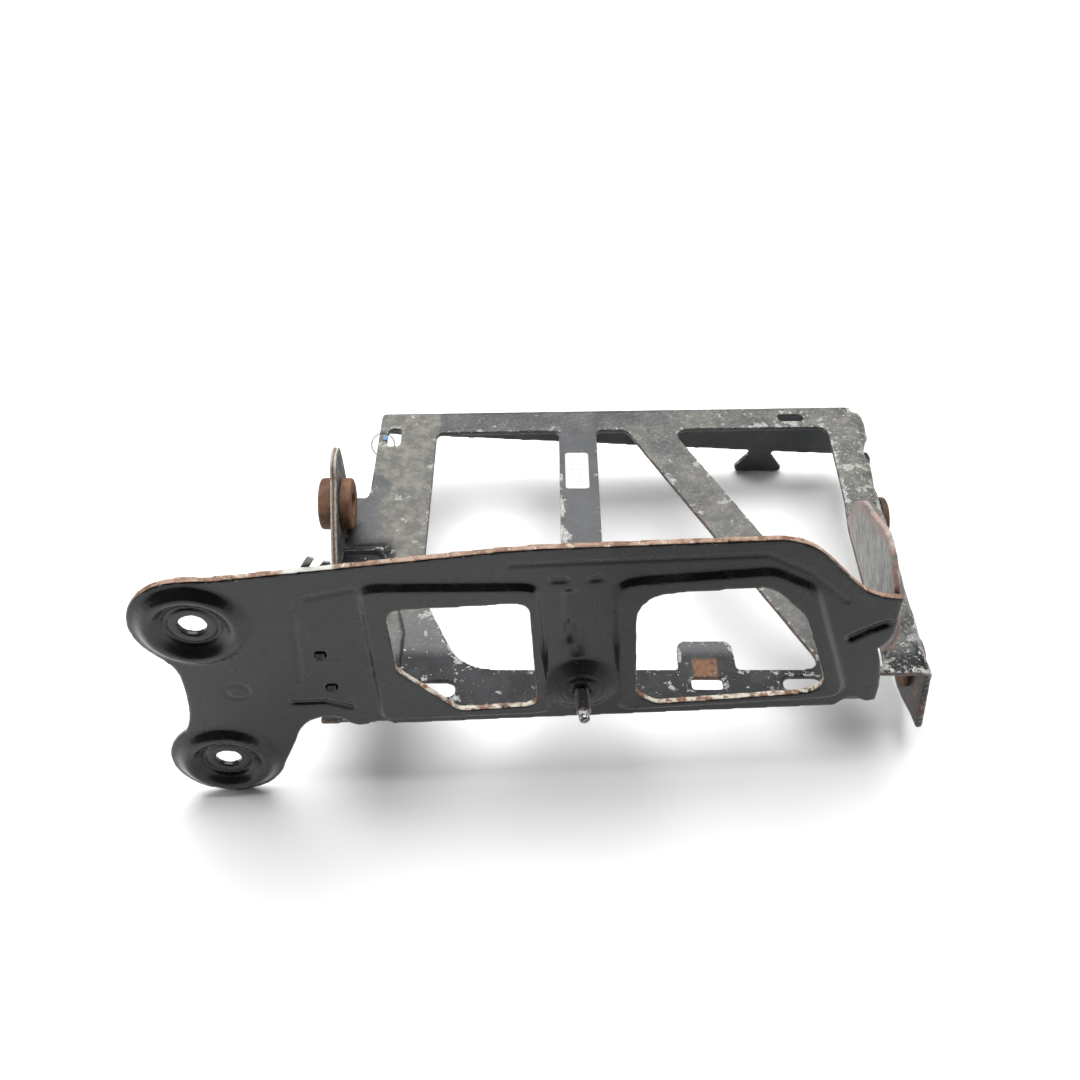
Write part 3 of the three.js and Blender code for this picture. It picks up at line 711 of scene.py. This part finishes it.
# Grooves in the front plate: chain of points, half width and depth, in the plate's millimetres.
PLATE_GROOVES = [
    ([(-11.4, 96), (-10.9, 64)], 6.5, 2.0),
    ([(-10.9, 72), (-10.9, 67)], 5.5, 1.0),
    ([(-19.5, 107.3), (-14, 107)], 3.6, 1.1),
    ([(-1, 107), (3, 107.6)], 3.6, 1.1),
    ([(-157, 19.9), (-140.6, 19.7), (-127, 13.5)], 3.4, 1.5),
    ([(136, 55), (144, 61), (152, 65)], 4.2, 2.0),
    ([(-40, 119), (40, 119.5), (84, 119.5), (106, 106), (128, 84)], 2.4, 0.7),
    ([(-117, 106.4), (-142, 100.7), (-147, 92), (-151, 39)], 3.0, 0.6),
    (circle(-184.8, 31.4, 6), 2.2, 0.5),
    (circle(*CONE, 10.5), 1.6, 0.6),
] + [(circle(*centre, 13.3), 2.0, 1.2) for centre in BOSSES]
TRAY_GROOVES = [
    ([(-147, -6.2), (-125, -4.8), (-119.5, -12), (-117, -30)], 3.4, 1.8),
    ([(194, 56), (193, 61)], 9, 1.8),
    ([(192, -71), (190, -65)], 10, 2.0),
]


def make_sheets():
    x_axis, y_axis = Vector((1, 0, 0)), Vector((0, 1, 0))
    tray = pressed("base_frame", 1.0, 3)
    press(tray, x_axis, y_axis, UP, TRAY_GROOVES)
    bow_right_edge(tray)
    mark_rims(tray, UP, 6 * MM)
    mark_wear(tray)
    add_piece("tray_frame", tray, tray_paint(), ["base_frame"])
    gusset = pressed("right_gusset", 0.8, 5)
    mark_rims(gusset, x_axis, 10 * MM)
    add_piece("gusset", gusset, gusset_paint(), ["right_gusset"])
    add_piece("ear", pressed("bush_ear", 0.7, 4), ear_paint(), ["bush_ear"])
    plate = pressed("front_plate", 0.95, 4)
    press(plate, ALONG, UP, OUT, PLATE_GROOVES, PLATE_START)
    mark_rims(plate, OUT, 4 * MM)
    add_piece("plate", plate, plate_paint(), ["front_plate"])


def make_bush(node, material, sheet_low, sheet_high, near_radius=None):
    """A grommet bush along x with a soft rim, gripping the sheet in its groove."""
    low, high = (Vector(corner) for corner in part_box(node))
    centre = Vector((0, (low.y + high.y) / 2, (low.z + high.z) / 2))
    radius = (high.y - low.y) / 2
    near = near_radius or radius
    profile = rounded_profile([
        (BUSH_BORE, low.x, BUSH_RIM / 2), (near, low.x, BUSH_RIM), (near, sheet_low, BUSH_STEP),
        (BUSH_NECK, sheet_low, 0), (BUSH_NECK, sheet_high, 0), (radius, sheet_high, BUSH_STEP),
        (radius, high.x, BUSH_RIM), (BUSH_BORE, high.x, BUSH_RIM / 2),
    ])
    mesh = turned(node, profile, centre, Vector((1, 0, 0)))
    add_piece(node.replace("_bush", "_grommet"), mesh, material, [node])


def make_bushes():
    rubber = bush_rubber("brown_rubber", (0.100, 0.048, 0.027), (0.205, 0.110, 0.064))
    grimy = bush_rubber("grimy_rubber", (0.022, 0.017, 0.014), (0.085, 0.045, 0.028))
    ear_low, ear_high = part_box("bush_ear")
    make_bush("ear_bush", rubber, ear_low[0] - SEAT_GAP, ear_high[0] + SEAT_GAP)
    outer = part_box("base_frame")[1][0]
    for node, finish in (("flange_bush_rear", grimy), ("flange_bush_front", rubber)):
        make_bush(node, finish, outer - TRAY_THICKNESS - SEAT_GAP, outer + SEAT_GAP, SMALL_BUSH)


def make_stud(material):
    """The clamp stud: a head behind the cone, an M8 thread and a smooth dog point."""
    spots = [vertex.co.copy() for vertex in frame["nodes"]["clamp_stud"].data.vertices]
    across = [ALONG.dot(p) for p in spots]
    depth = [OUT.dot(p) for p in spots]
    height = [p.z for p in spots]
    foot = ALONG * (min(across) + max(across)) / 2 + UP * (min(height) + max(height)) / 2
    back, tip = min(depth), max(depth)
    pitch, crest, root = 1.25 * MM, 4.0 * MM, 3.3 * MM
    head_radius, head_depth = 6.2 * MM, 2.6 * MM
    point_length, point_radius = 5.6 * MM, 2.8 * MM
    sides = 48
    front = back + head_depth
    points = [[corner] * sides for corner in (
        (0.0, back), (head_radius, back), (head_radius, front), (crest, front))]
    start, end = front + 0.4 * MM, tip - point_length
    steps = int((end - start) / (pitch / 8))
    for k in range(steps + 1):
        s = start + (end - start) * k / steps
        whole = end - s > 0.6 * pitch and s - start > 0.1 * pitch
        cut = (crest - root) * (1 if whole else 0.5)
        ring = []
        for i in range(sides):
            wave = abs(((s / pitch - i / sides) % 1) * 2 - 1)
            ring.append((crest - cut * min(1, wave * 1.25), s))
        points.append(ring)
    # The smooth point, with its chamfered tip.
    for corner in ((point_radius, end + 0.9 * MM), (point_radius, tip - 1.2 * MM),
                   (2.3 * MM, tip - 0.4 * MM), (1.7 * MM, tip), (0.0, tip)):
        points.append([corner] * sides)
    verts, faces = [], []
    for ring in points:
        for i, (r, s) in enumerate(ring):
            turn = 2 * math.pi * i / sides
            verts.append(foot + OUT * s + ALONG * r * math.cos(turn) + UP * r * math.sin(turn))
    for k in range(len(points) - 1):
        for i in range(sides):
            j = (i + 1) % sides
            faces.append((k * sides + i, k * sides + j, (k + 1) * sides + j, (k + 1) * sides + i))
    mesh = welded("stud", verts, faces)
    # Marks the thread's crests, where the colour carries a painted highlight.
    spokes = [(v.co - foot) - OUT * (v.co - foot).dot(OUT) for v in mesh.vertices]
    widest = crest + 0.5 * MM
    crest_highlight = [smooth_step(r.length, root, crest) if r.length < widest else 0.0 for r in spokes]
    mark(mesh, "crest", crest_highlight)
    add_piece("threaded_stud", mesh, material, ["clamp_stud"])


def make_hardware():
    steel = stud_steel()
    make_stud(steel)
    for node, name in (("clip_rivet_upper", "square_rivet_upper"),
                       ("clip_rivet_lower", "square_rivet_lower"),
                       ("flange_pin", "round_head_pin")):
        add_piece(name, pressed(node, 0.22, 3), steel, [node])
    add_piece("clip", pressed("rear_clip", 0.4, 3), clip_steel(), ["rear_clip"])


# The paper label on the centre strut.
LABEL_LEFT, LABEL_FRONT = -9.1, 47.7
LABEL_WIDTH, LABEL_LENGTH = 15.7, 36.1


def make_label():
    low = Vector((LABEL_LEFT, LABEL_FRONT, 0)) * MM + UP * MOUNTS["tray_seat"]["pos_m"][2]
    high = low + Vector((LABEL_WIDTH, LABEL_LENGTH, 0)) * MM
    columns, rows = 16, 34
    thickness, ripple_height = 0.12 * MM, 0.05 * MM
    corner = 2 * MM
    random.seed(4)
    waves = [(random.uniform(0, 6.28), random.uniform(120, 320)) for _ in range(3)]
    layers = []
    for lift in (0.0, thickness):
        for j in range(rows + 1):
            for i in range(columns + 1):
                y = low.y + (high.y - low.y) * j / rows
                past = max(0.0, corner - min(y - low.y, high.y - y))
                inset = corner - math.sqrt(corner ** 2 - past ** 2)
                x = low.x + inset + (high.x - low.x - 2 * inset) * i / columns
                ripple = sum(math.sin(phase + rate * (x + 0.7 * y)) for phase, rate in waves) / 3
                layers.append(Vector((x, y, low.z + lift + ripple_height * (1 + ripple))))
    row, sheet = columns + 1, (columns + 1) * (rows + 1)
    faces = []
    for j in range(rows):
        for i in range(columns):
            a = j * row + i
            faces.append((a, a + row, a + row + 1, a + 1))
            faces.append((a + sheet, a + sheet + 1, a + sheet + row + 1, a + sheet + row))
    rim = list(range(columns)) + [j * row + columns for j in range(rows)]
    rim += [rows * row + i for i in range(columns, 0, -1)] + [j * row for j in range(rows, 0, -1)]
    for k, a in enumerate(rim):
        b = rim[(k + 1) % len(rim)]
        faces.append((a, b, b + sheet, a + sheet))
    mesh = bpy.data.meshes.new("label")
    mesh.from_pydata(layers, [], faces)
    add_piece("paper_label", mesh, label_paper(low / MM, high / MM), [])


def make_tag():
    loop = applied(frame["nodes"]["tag_loop"].data.copy(), [("SUBSURF", {"levels": 1, "render_levels": 1})])
    black = plain_plastic("loop_plastic", (0.012, 0.012, 0.014), (0.035, 0.035, 0.04), 0.45)
    add_piece("plastic_loop", loop, black, ["tag_loop"], TAG)
    blue = plain_plastic("flag_plastic", (0.16, 0.32, 0.58), (0.28, 0.47, 0.72), 0.5)
    add_piece("plastic_flag", pressed("tag_flag", 0.15, 3), blue, ["tag_flag"], TAG)


add_camera()
add_studio()
add_floor()
make_sheets()
make_bushes()
make_hardware()
make_label()
make_tag()
